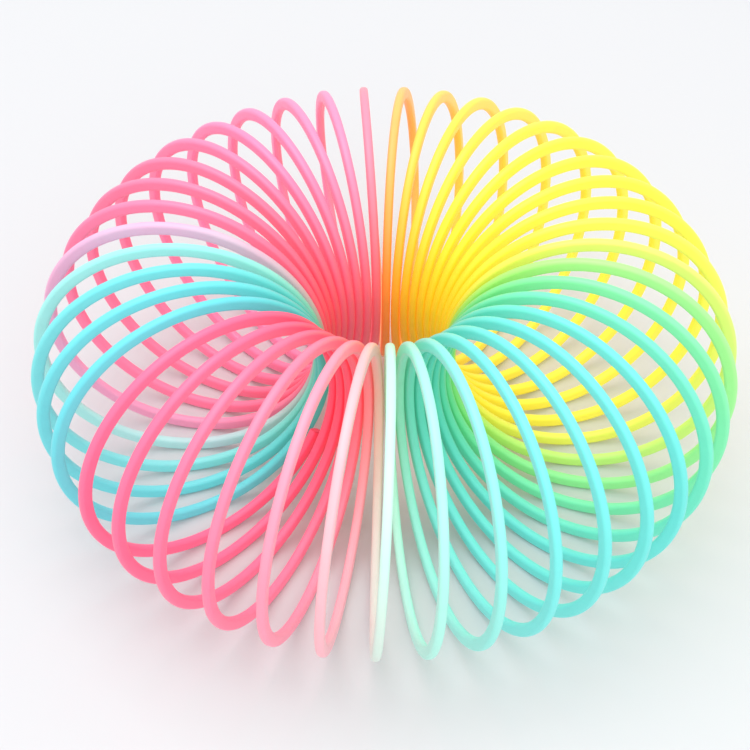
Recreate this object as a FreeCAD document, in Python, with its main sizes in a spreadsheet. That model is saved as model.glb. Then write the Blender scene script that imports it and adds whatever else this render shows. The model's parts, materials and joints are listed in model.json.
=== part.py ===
import FreeCAD, Part
import Sketcher
import math
import os

Vector = FreeCAD.Vector
doc = FreeCAD.newDocument("CoilRing")

# Driving sizes, in millimetres and degrees
sizes = (
    ("ring_radius", 63.0, "ring axis to the middle of the coil"),
    ("coil_radius", 43.0, "middle of the coil to the middle of the wire"),
    ("wire_depth", 4.0, "wire size across, from inside the coil to outside"),
    ("wire_thickness", 2.7, "wire size along the coil"),
    ("corner_radius", 1.1, "rounding of the wire's four corners"),
    ("turn_count", 41, "turns in the coil, the two end turns being a little short"),
    ("turn_step", 8.75, "angle round the ring taken up by one turn"),
    ("first_angle", 211.3, "angle round the ring where the coil would start"),
    ("junction_gap", 0.12, "clearance between neighbouring turns at their hinge"),
    ("end_trim", 30.0, "arc cut off each end turn, so that the ends stay clear"),
    ("end_taper", 0.6, "length of the eased tip on each free end"),
    ("end_ease", 0.45, "how much the tip shrinks on each side"),
    ("stations", 24, "sections used along one turn"),
)
sheet = doc.addObject("Spreadsheet::Sheet", "Sizes")
for row, (alias, value, note) in enumerate(sizes, start=1):
    sheet.set("A%d" % row, alias)
    sheet.set("B%d" % row, str(value))
    sheet.set("C%d" % row, note)
    sheet.setAlias("B%d" % row, alias)
doc.recompute()

ringRadius = float(sheet.get("ring_radius"))
coilRadius = float(sheet.get("coil_radius"))
wireDepth = float(sheet.get("wire_depth"))
wireThickness = float(sheet.get("wire_thickness"))
cornerRadius = float(sheet.get("corner_radius"))
turnCount = int(sheet.get("turn_count"))
turnStep = float(sheet.get("turn_step"))
firstAngle = float(sheet.get("first_angle"))
junctionTrim = float(sheet.get("junction_gap")) / 2 / (2 * math.pi * coilRadius)
endTrim = float(sheet.get("end_trim")) / 360
endTaper = float(sheet.get("end_taper"))
endEase = float(sheet.get("end_ease"))
stations = int(sheet.get("stations"))


def wireSketch():
    # rounded rectangle: x runs out from the coil's middle, y runs along the coil
    sketch = doc.addObject("Sketcher::SketchObject", "WireSection")
    halfX = wireDepth / 2
    halfY = wireThickness / 2
    flatX = halfX - cornerRadius
    flatY = halfY - cornerRadius
    sides = (
        (Vector(-flatX, -halfY, 0), Vector(flatX, -halfY, 0)),
        (Vector(halfX, -flatY, 0), Vector(halfX, flatY, 0)),
        (Vector(flatX, halfY, 0), Vector(-flatX, halfY, 0)),
        (Vector(-halfX, flatY, 0), Vector(-halfX, -flatY, 0)),
    )
    corners = ((flatX, -flatY), (flatX, flatY), (-flatX, flatY), (-flatX, -flatY))
    for index in range(4):
        start, end = sides[index]
        centre = Vector(corners[index][0], corners[index][1], 0)
        circle = Part.Circle(centre, Vector(0, 0, 1), cornerRadius)
        fromAngle = math.radians(90 * index - 90)
        sketch.addGeometry(Part.LineSegment(start, end))
        sketch.addGeometry(Part.ArcOfCircle(circle, fromAngle, fromAngle + math.pi / 2))
    for index in range(8):
        sketch.addConstraint(Sketcher.Constraint("Tangent", index, 2, (index + 1) % 8, 1))
    sketch.addConstraint(Sketcher.Constraint("Horizontal", 0))
    sketch.addConstraint(Sketcher.Constraint("Horizontal", 4))
    sketch.addConstraint(Sketcher.Constraint("Vertical", 2))
    sketch.addConstraint(Sketcher.Constraint("Vertical", 6))
    for other in (3, 5, 7):
        sketch.addConstraint(Sketcher.Constraint("Equal", 1, other))
    sketch.addConstraint(Sketcher.Constraint("Symmetric", 0, 1, 4, 1, -1, 1))
    driven = (
        ("depth", Sketcher.Constraint("DistanceX", 6, 1, 2, 1, wireDepth), "Sizes.wire_depth"),
        ("thickness", Sketcher.Constraint("DistanceY", 0, 1, 4, 1, wireThickness), "Sizes.wire_thickness"),
        ("corner", Sketcher.Constraint("Radius", 1, cornerRadius), "Sizes.corner_radius"),
    )
    for name, constraint, source in driven:
        number = sketch.addConstraint(constraint)
        sketch.renameConstraint(number, name)
        sketch.setExpression("Constraints." + name, source)
    doc.recompute()
    return sketch


section = wireSketch()
sectionWire = section.Shape.Wires[0]


def sectionAt(part, shrink=1.0, beyond=0.0):
    # The wire's section a given part of the way along a turn, 0 and 1 being the inner side.
    # The wire climbs the inner side, goes over the top, down the outside and back underneath.
    along = math.radians(-turnStep * part)
    around = math.pi - 2 * math.pi * part
    out = Vector(math.cos(around) * math.cos(along), math.cos(around) * math.sin(along), math.sin(around))
    side = Vector(-math.sin(along), math.cos(along), 0)
    ahead = side.cross(out)
    reach = ringRadius + coilRadius * math.cos(around)
    centre = Vector(reach * math.cos(along), reach * math.sin(along), coilRadius * math.sin(around))
    centre = centre + ahead * beyond
    matrix = FreeCAD.Matrix(
        out.x, side.x, -ahead.x, centre.x,
        out.y, side.y, -ahead.y, centre.y,
        out.z, side.z, -ahead.z, centre.z,
        0, 0, 0, 1)
    wire = sectionWire.copy()
    if shrink != 1.0:
        wire.scale(shrink)
    wire.Placement = FreeCAD.Placement(matrix)
    return wire


def wireBetween(start, end):
    # wire from one part of a turn to another, 0 to 1 being the whole turn
    steps = math.ceil(stations * (end - start))
    wires = [sectionAt(start + (end - start) * number / steps) for number in range(steps + 1)]
    return Part.makeLoft(wires, True, False)


def easedTip(part, direction):
    # a short tip for a free end, drawn in so that its rim is not sharp
    shrink = 1 - 2 * endEase / wireDepth
    wires = [sectionAt(part), sectionAt(part, shrink, direction * endTaper)]
    return Part.makeLoft(wires, True, True)


wholeTurn = wireBetween(junctionTrim, 1 - junctionTrim)
firstTurn = wireBetween(endTrim, 1 - junctionTrim).fuse(easedTip(endTrim, -1))
lastTurn = wireBetween(junctionTrim, 1 - endTrim).fuse(easedTip(1 - endTrim, 1))
upright = FreeCAD.Rotation(Vector(0, 0, 1), 90)
turns = []
for number in range(turnCount):
    shape = wholeTurn.copy()
    label = "turn_%02d" % (number + 1)
    if number == 0:
        shape = firstTurn
        label = "first_end_turn"
    if number == turnCount - 1:
        shape = lastTurn
        label = "last_end_turn"
    turn = doc.addObject("Part::Feature", "Turn%02d" % (number + 1))
    turn.Shape = shape
    turn.Label = label
    turn.Placement = FreeCAD.Placement(Vector(0, 0, 0), upright)
    turn.setExpression("Placement.Rotation.Angle", "Sizes.first_angle - %d * Sizes.turn_step" % number)
    turn.setExpression("Placement.Base.z", "Sizes.coil_radius + Sizes.wire_depth / 2")
    turns.append(turn)

doc.recompute()
for item in doc.Objects:
    if "Invalid" in item.State or "Error" in item.State:
        raise RuntimeError("bad state: " + item.Label)
    if hasattr(item, "Shape") and (item.Shape.isNull() or not item.Shape.isValid()):
        raise RuntimeError("bad shape: " + item.Label)

os.makedirs("parts", exist_ok=True)
for turn in turns:
    turn.Shape.exportStep("parts/%s.step" % turn.Label)
    print(turn.Label, round(turn.Shape.Volume, 2), len(turn.Shape.Solids))
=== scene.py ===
import json
import math
import bpy
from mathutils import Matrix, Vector


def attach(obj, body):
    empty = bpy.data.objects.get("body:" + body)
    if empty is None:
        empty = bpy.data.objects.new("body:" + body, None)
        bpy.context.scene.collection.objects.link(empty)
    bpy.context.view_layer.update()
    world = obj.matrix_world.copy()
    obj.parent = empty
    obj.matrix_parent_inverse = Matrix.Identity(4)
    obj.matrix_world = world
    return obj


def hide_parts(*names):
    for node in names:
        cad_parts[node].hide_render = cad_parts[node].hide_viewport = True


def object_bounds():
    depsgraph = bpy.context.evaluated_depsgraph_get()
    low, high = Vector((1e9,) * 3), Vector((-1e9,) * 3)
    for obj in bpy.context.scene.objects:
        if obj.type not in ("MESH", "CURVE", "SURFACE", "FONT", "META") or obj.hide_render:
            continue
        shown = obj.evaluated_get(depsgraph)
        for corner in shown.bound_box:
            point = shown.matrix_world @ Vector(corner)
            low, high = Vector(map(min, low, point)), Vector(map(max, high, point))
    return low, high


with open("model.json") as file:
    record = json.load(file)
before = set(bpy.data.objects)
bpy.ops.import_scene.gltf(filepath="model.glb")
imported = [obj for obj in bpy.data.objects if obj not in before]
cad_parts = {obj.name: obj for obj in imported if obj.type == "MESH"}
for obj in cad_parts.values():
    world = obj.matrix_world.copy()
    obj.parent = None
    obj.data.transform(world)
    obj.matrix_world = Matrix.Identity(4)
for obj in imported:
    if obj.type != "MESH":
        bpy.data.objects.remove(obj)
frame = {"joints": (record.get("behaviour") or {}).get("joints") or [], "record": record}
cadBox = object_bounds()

print("frame loaded")


# sizes of the strip; the rest of the ring's sizes come from the frame
wireSizes = {
    "depth": 0.0040,          # across the strip, from inside the coil to outside
    "thickness": 0.0027,      # along the coil
    "corner": 0.0011,         # rounding of the four corners
    "lineHeight": 0.00002,    # faint moulding line down the inner and outer faces
    "lineWidth": 0.00030,
    "tipLength": 0.00055,     # eased tip on each free end
    "tipEase": 0.00042,
    "endTrim": 1 / 12,        # share of a turn cut off each end of the coil
    "tipAngles": (25, 50, 72, 90),    # degrees round the tip's easing, one mesh ring each
    "ringsPerTurn": 132,      # mesh rings along one turn
    "cornerSteps": 5,         # mesh steps round each corner
    "throatFalloff": 8,       # how fast the painted shade and painted warm bounce light on the inner side fade away round each turn
}

joints = sorted(frame["joints"], key=lambda joint: joint["name"])
nodeNames = [item["node"] for item in frame["record"]["subparts"]]
wholeTurns = sorted(name for name in nodeNames if name.startswith("turn_"))
turnNames = ["first_end_turn"] + wholeTurns + ["last_end_turn"]
turnTotal = len(turnNames)

firstJoint = Vector(joints[0]["pos_m"])
innerRadius = firstJoint.to_2d().length
midHeight = (cadBox[0].z + cadBox[1].z) / 2
coilRadius = (cadBox[1].z - cadBox[0].z - wireSizes["depth"]) / 2
ringRadius = innerRadius + coilRadius
turnStep = abs(Vector(joints[1]["pos_m"]).to_2d().angle_signed(firstJoint.to_2d()))
firstAngle = math.atan2(firstJoint.y, firstJoint.x) + turnStep
print("coil radius", round(coilRadius, 4), "ring radius", round(ringRadius, 4), "turns", turnTotal)


def wireSection():
    # rounded strip, counted round once; x runs out from the coil's middle, y along the coil
    halfX = wireSizes["depth"] / 2 - wireSizes["lineHeight"]
    halfY = wireSizes["thickness"] / 2
    corner = wireSizes["corner"]
    steps = wireSizes["cornerSteps"]
    line = wireSizes["lineWidth"] / 2
    lift = wireSizes["lineHeight"]
    points = []
    for turn in range(4):
        signX = (1, 1, -1, -1)[turn]
        signY = (-1, 1, 1, -1)[turn]
        centre = Vector((signX * (halfX - corner), signY * (halfY - corner)))
        for step in range(steps + 1):
            angle = math.radians(90 * (turn - 1) + 90 * step / steps)
            points.append(centre + corner * Vector((math.cos(angle), math.sin(angle))))
        if turn % 2 == 0:
            points += [Vector((signX * halfX, -line)), Vector((signX * (halfX + lift), 0)),
                       Vector((signX * halfX, line))]
            if signX < 0:
                points[-3:] = reversed(points[-3:])
        else:
            points.append(Vector((0, signY * halfY)))
    return points


def coilFrame(along, beyond=0.0):
    # the wire climbs the inner side, goes over the top, down the outside and back underneath
    around = math.pi - 2 * math.pi * along
    turned = firstAngle - turnStep * along
    flat = Vector((math.cos(turned), math.sin(turned), 0))
    side = Vector((-math.sin(turned), math.cos(turned), 0))
    out = flat * math.cos(around) + Vector((0, 0, math.sin(around)))
    ahead = side.cross(out)
    centre = flat * (ringRadius + coilRadius * math.cos(around))
    centre.z = midHeight + coilRadius * math.sin(around)
    return centre + ahead * beyond, out, side


def turnStations(number):
    # (how far along the coil, tip offset, shrink), tips only on the coil's two free ends
    rings = wireSizes["ringsPerTurn"]
    start = number + (wireSizes["endTrim"] if number == 0 else 0)
    end = number + 1 - (wireSizes["endTrim"] if number == turnTotal - 1 else 0)
    stations = [(start + (end - start) * ring / rings, 0.0, 0.0) for ring in range(rings + 1)]
    tip = [(math.sin(angle) * wireSizes["tipLength"], (1 - math.cos(angle)) * wireSizes["tipEase"])
           for angle in (math.radians(step) for step in wireSizes["tipAngles"])]
    if number == 0:
        stations = [(start, -offset, shrink) for offset, shrink in reversed(tip)] + stations
    if number == turnTotal - 1:
        stations += [(end, offset, shrink) for offset, shrink in tip]
    return stations


def wireNormals(points):
    normals = []
    for place in range(len(points)):
        edge = points[(place + 1) % len(points)] - points[place - 1]
        normals.append(Vector((edge.y, -edge.x)).normalized())
    return normals


section = wireSection()
sectionNormals = wireNormals(section)


def makeTurn(number, material):
    name = turnNames[number]
    points, faces, alongs, throats, normals = [], [], [], [], []
    count = len(section)
    for along, offset, shrink in turnStations(number):
        centre, out, side = coilFrame(along, offset)
        scaleX = 1 - shrink / (wireSizes["depth"] / 2)
        scaleY = 1 - shrink / (wireSizes["thickness"] / 2)
        for spot, facing in zip(section, sectionNormals):
            points.append(centre + out * spot.x * scaleX + side * spot.y * scaleY)
            normals.append(out * facing.x + side * facing.y)
            alongs.append(along)
            # nearThroat marks the inner side of each turn, where the painted shade and painted warm
            # bounce light go
            throats.append(math.cos(math.pi * along) ** wireSizes["throatFalloff"])
    ringTotal = len(points) // count
    for ring in range(ringTotal - 1):
        base = ring * count
        for place in range(count):
            nextPlace = (place + 1) % count
            faces.append((base + place, base + count + place, base + count + nextPlace, base + nextPlace))
    faces.append(tuple(range(count)))
    faces.append(tuple(range((ringTotal - 1) * count, ringTotal * count))[::-1])
    mesh = bpy.data.meshes.new("coil_" + name)
    mesh.from_pydata(points, [], faces)
    mesh.validate()
    for label, values in (("alongCoil", alongs), ("nearThroat", throats)):
        attribute = mesh.attributes.new(label, "FLOAT", "POINT")
        attribute.data.foreach_set("value", values)
    for face in mesh.polygons:
        face.use_smooth = len(face.vertices) == 4
    # each ring keeps the wire's own normals, so the shading runs on from turn to turn
    cornerNormals = [normals[mesh.loops[loop].vertex_index] if face.use_smooth else face.normal
                     for face in mesh.polygons for loop in face.loop_indices]
    mesh.normals_split_custom_set(cornerNormals)
    mesh.materials.append(material)
    piece = bpy.data.objects.new("coil_" + name, mesh)
    bpy.context.scene.collection.objects.link(piece)
    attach(piece, name)
    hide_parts(name)
    return piece


# one long blend of colours down the coil
plasticLook = {
    # turn number along the coil, then red, green and blue as seen on a screen
    "colours": (
        (0.0, 0.40, 0.81, 0.85), (2.4, 0.45, 0.84, 0.85), (3.6, 0.64, 0.89, 0.86),
        (4.3, 0.86, 0.68, 0.80), (5.0, 0.98, 0.50, 0.64), (7.0, 0.98, 0.48, 0.61),
        (9.5, 0.97, 0.53, 0.69), (12.8, 0.98, 0.56, 0.70), (13.3, 0.98, 0.54, 0.62),
        (13.8, 0.99, 0.66, 0.42), (14.4, 1.00, 0.73, 0.38), (15.4, 1.00, 0.81, 0.32),
        (17.0, 0.99, 0.88, 0.32), (19.0, 0.99, 0.92, 0.30), (23.0, 0.98, 0.93, 0.32),
        (24.2, 0.90, 0.93, 0.42), (25.1, 0.68, 0.92, 0.52), (26.1, 0.53, 0.90, 0.63),
        (27.2, 0.46, 0.88, 0.73), (28.5, 0.43, 0.86, 0.83), (31.5, 0.46, 0.87, 0.85),
        (33.2, 0.62, 0.90, 0.84), (34.3, 0.74, 0.93, 0.86), (35.2, 0.95, 0.72, 0.74),
        (36.2, 0.98, 0.60, 0.68), (37.5, 0.98, 0.49, 0.61), (39.0, 0.98, 0.44, 0.58),
        (41.0, 0.98, 0.42, 0.57),
    ),
    "throatPaintedShade": 1.35,      # painted shade: how much stronger the colour is made where the turns crowd together
    "throatPaintedBounce": (1.0, 0.88, 0.66, 1),    # and the painted warm bounce light there, standing in for the light of the turns around
    "roughness": (0.34, 0.46),
    "paintedGlow": 0.17,             # painted light: the plastic gives off a little light of its own, standing in for light that comes through the plastic, which is a little clear
    "ior": 1.47,
    "specular": 0.45,
    "drift": 0.35,            # how far the colours wander along the coil, in turns
    "driftScale": 45,         # noise scales are in cycles per metre
    "driftDetail": 2,
    "cloudScale": 260,
    "cloudDetail": 4,
    "cloudShade": (0.965, 1.03),
    "waviness": 0.00003,      # height of the slow moulding waves
    "waveStrength": 0.5,
    "grain": 0.000006,        # height of the finest surface grain
    "grainScale": 2600,
    "grainDetail": 3,
    "grainStrength": 0.6,
}


def screenToLinear(value):
    if value <= 0.04045:
        return value / 12.92
    return ((value + 0.055) / 1.055) ** 2.4


def makePlastic():
    material = bpy.data.materials.new("rainbowPlastic")
    material.use_nodes = True
    nodes = material.node_tree.nodes
    links = material.node_tree.links
    shader = nodes["Principled BSDF"]

    along = nodes.new("ShaderNodeAttribute")
    along.attribute_name = "alongCoil"
    place = nodes.new("ShaderNodeTexCoord")

    # colour runs down the coil, with a slight drift where the pigments meet
    drift = nodes.new("ShaderNodeTexNoise")
    drift.inputs["Scale"].default_value = plasticLook["driftScale"]
    drift.inputs["Detail"].default_value = plasticLook["driftDetail"]
    links.new(place.outputs["Object"], drift.inputs["Vector"])
    driftSize = nodes.new("ShaderNodeMath")
    driftSize.operation = "MULTIPLY_ADD"
    driftSize.inputs[1].default_value = plasticLook["drift"]
    driftSize.inputs[2].default_value = -plasticLook["drift"] / 2
    links.new(drift.outputs["Fac"], driftSize.inputs[0])
    moved = nodes.new("ShaderNodeMath")
    moved.operation = "ADD"
    links.new(along.outputs["Fac"], moved.inputs[0])
    links.new(driftSize.outputs[0], moved.inputs[1])
    share = nodes.new("ShaderNodeMath")
    share.operation = "DIVIDE"
    share.inputs[1].default_value = turnTotal
    links.new(moved.outputs[0], share.inputs[0])
    ramp = nodes.new("ShaderNodeValToRGB")
    links.new(share.outputs[0], ramp.inputs["Fac"])
    stops = ramp.color_ramp.elements
    for index, (turn, red, green, blue) in enumerate(plasticLook["colours"]):
        position = turn / turnTotal
        stop = stops[index] if index < 2 else stops.new(position)
        stop.position = position
        stop.color = [screenToLinear(value) for value in (red, green, blue)] + [1]

    # painted shade and painted warm bounce light: the colour is deepened and made warmer on the inner
    # side, standing in for light passing from turn to turn
    crowd = nodes.new("ShaderNodeAttribute")
    crowd.attribute_name = "nearThroat"
    strength = nodes.new("ShaderNodeMapRange")
    strength.inputs["To Min"].default_value = 1
    strength.inputs["To Max"].default_value = plasticLook["throatPaintedShade"]
    links.new(crowd.outputs["Fac"], strength.inputs["Value"])
    # painted shade: the colour is darkened and deepened towards the throat
    paintedShadeNode = nodes.new("ShaderNodeGamma")
    links.new(ramp.outputs["Color"], paintedShadeNode.inputs["Color"])
    links.new(strength.outputs["Result"], paintedShadeNode.inputs["Gamma"])
    # painted warm bounce light on the inner side
    paintedBounceTint = nodes.new("ShaderNodeMix")
    paintedBounceTint.data_type = "RGBA"
    paintedBounceTint.inputs["A"].default_value = (1, 1, 1, 1)
    paintedBounceTint.inputs["B"].default_value = plasticLook["throatPaintedBounce"]
    links.new(crowd.outputs["Fac"], paintedBounceTint.inputs["Factor"])
    colourWithPaintedLight = nodes.new("ShaderNodeMix")
    colourWithPaintedLight.data_type = "RGBA"
    colourWithPaintedLight.blend_type = "MULTIPLY"
    colourWithPaintedLight.inputs["Factor"].default_value = 1
    links.new(paintedShadeNode.outputs["Color"], colourWithPaintedLight.inputs["A"])
    links.new(paintedBounceTint.outputs["Result"], colourWithPaintedLight.inputs["B"])

    # pigment clouds too faint to see as spots
    cloud = nodes.new("ShaderNodeTexNoise")
    cloud.inputs["Scale"].default_value = plasticLook["cloudScale"]
    cloud.inputs["Detail"].default_value = plasticLook["cloudDetail"]
    links.new(place.outputs["Object"], cloud.inputs["Vector"])
    shade = nodes.new("ShaderNodeMapRange")
    shade.inputs["To Min"].default_value = plasticLook["cloudShade"][0]
    shade.inputs["To Max"].default_value = plasticLook["cloudShade"][1]
    links.new(cloud.outputs["Fac"], shade.inputs["Value"])
    tint = nodes.new("ShaderNodeMix")
    tint.data_type = "RGBA"
    tint.blend_type = "MULTIPLY"
    tint.inputs["Factor"].default_value = 1
    links.new(colourWithPaintedLight.outputs["Result"], tint.inputs["A"])
    links.new(shade.outputs["Result"], tint.inputs["B"])
    links.new(tint.outputs["Result"], shader.inputs["Base Color"])

    # the gloss follows the same clouds
    gloss = nodes.new("ShaderNodeMapRange")
    gloss.inputs["To Min"].default_value = plasticLook["roughness"][0]
    gloss.inputs["To Max"].default_value = plasticLook["roughness"][1]
    links.new(cloud.outputs["Fac"], gloss.inputs["Value"])
    links.new(gloss.outputs["Result"], shader.inputs["Roughness"])

    # slow moulding waves with a fine grain over them
    grain = nodes.new("ShaderNodeTexNoise")
    grain.inputs["Scale"].default_value = plasticLook["grainScale"]
    grain.inputs["Detail"].default_value = plasticLook["grainDetail"]
    links.new(place.outputs["Object"], grain.inputs["Vector"])
    wave = nodes.new("ShaderNodeBump")
    wave.inputs["Distance"].default_value = plasticLook["waviness"]
    wave.inputs["Strength"].default_value = plasticLook["waveStrength"]
    links.new(cloud.outputs["Fac"], wave.inputs["Height"])
    bump = nodes.new("ShaderNodeBump")
    bump.inputs["Distance"].default_value = plasticLook["grain"]
    bump.inputs["Strength"].default_value = plasticLook["grainStrength"]
    links.new(grain.outputs["Fac"], bump.inputs["Height"])
    links.new(wave.outputs["Normal"], bump.inputs["Normal"])
    links.new(bump.outputs["Normal"], shader.inputs["Normal"])

    shader.inputs["IOR"].default_value = plasticLook["ior"]
    shader.inputs["Specular IOR Level"].default_value = plasticLook["specular"]
    # painted light: a little of the plastic's own colour is given off as light, standing in for light
    # that comes through it
    links.new(tint.outputs["Result"], shader.inputs["Emission Color"])
    shader.inputs["Emission Strength"].default_value = plasticLook["paintedGlow"]
    return material


plastic = makePlastic()
for number in range(turnTotal):
    makeTurn(number, plastic)
print("turns made", turnTotal)


studio = {
    "floorColour": (0.66, 0.66, 0.67, 1),
    "floorRoughness": 0.5,
    "floorSpecular": 0.1,
    "floorSize": 12.0,
    "floorGap": 0.00005,      # the floor lies this far under the coil
    "skyStrength": 0.92,
    "skyColour": (0.96, 0.98, 1.0, 1),
    "keyPower": 11.0,
    "keySize": 1.1,
    "keyPlace": (-0.30, 0.15, 1.50),
    "fillPower": 7.5,
    "fillSize": 1.4,
    "fillPlace": (0.4, -1.0, 1.1),
    "exposure": 0.0,
}


def makeFloor():
    half = studio["floorSize"] / 2
    mesh = bpy.data.meshes.new("studioFloor")
    level = cadBox[0].z - studio["floorGap"]
    corners = [(-half, -half, level), (half, -half, level), (half, half, level), (-half, half, level)]
    mesh.from_pydata(corners, [], [(0, 1, 2, 3)])
    material = bpy.data.materials.new("paleTable")
    material.use_nodes = True
    shader = material.node_tree.nodes["Principled BSDF"]
    shader.inputs["Base Color"].default_value = studio["floorColour"]
    shader.inputs["Roughness"].default_value = studio["floorRoughness"]
    shader.inputs["Specular IOR Level"].default_value = studio["floorSpecular"]
    mesh.materials.append(material)
    floor = bpy.data.objects.new("studioFloor", mesh)
    bpy.context.scene.collection.objects.link(floor)


def makeLamp(name, place, power, size):
    lamp = bpy.data.lights.new(name, "AREA")
    lamp.energy = power
    lamp.size = size
    holder = bpy.data.objects.new(name, lamp)
    holder.location = place
    aim = Vector((0, 0, midHeight)) - Vector(place)
    holder.rotation_euler = aim.to_track_quat("-Z", "Y").to_euler()
    bpy.context.scene.collection.objects.link(holder)


def makeSky():
    world = bpy.data.worlds.new("softRoom")
    world.use_nodes = True
    background = world.node_tree.nodes["Background"]
    background.inputs["Color"].default_value = studio["skyColour"]
    background.inputs["Strength"].default_value = studio["skyStrength"]
    bpy.context.scene.world = world


cameraSetup = {
    "elevation": 42.9,       # degrees above the table
    "distance": 13.0,        # in coil radii, from the coil's middle height
    "lens": 86.7,            # millimetres
    "sensor": 36,
    "shift": (-0.0127, -0.0330),
    "clipStart": 0.01,
}


def makeCamera():
    lens = bpy.data.cameras.new("standCamera")
    lens.lens = cameraSetup["lens"]
    lens.sensor_width = cameraSetup["sensor"]
    lens.shift_x, lens.shift_y = cameraSetup["shift"]
    lens.clip_start = cameraSetup["clipStart"]
    camera = bpy.data.objects.new("standCamera", lens)
    rise = math.radians(cameraSetup["elevation"])
    back = Vector((0, -math.cos(rise), math.sin(rise)))
    camera.location = back * cameraSetup["distance"] * coilRadius + Vector((0, 0, midHeight))
    camera.rotation_mode = "QUATERNION"
    camera.rotation_quaternion = (-back).to_track_quat("-Z", "Y")
    bpy.context.scene.collection.objects.link(camera)
    bpy.context.scene.camera = camera


makeFloor()
makeSky()
makeLamp("keyLamp", studio["keyPlace"], studio["keyPower"], studio["keySize"])
makeLamp("fillLamp", studio["fillPlace"], studio["fillPower"], studio["fillSize"])
makeCamera()
bpy.context.scene.view_settings.view_transform = "Standard"
bpy.context.scene.view_settings.exposure = studio["exposure"]
print("studio ready")
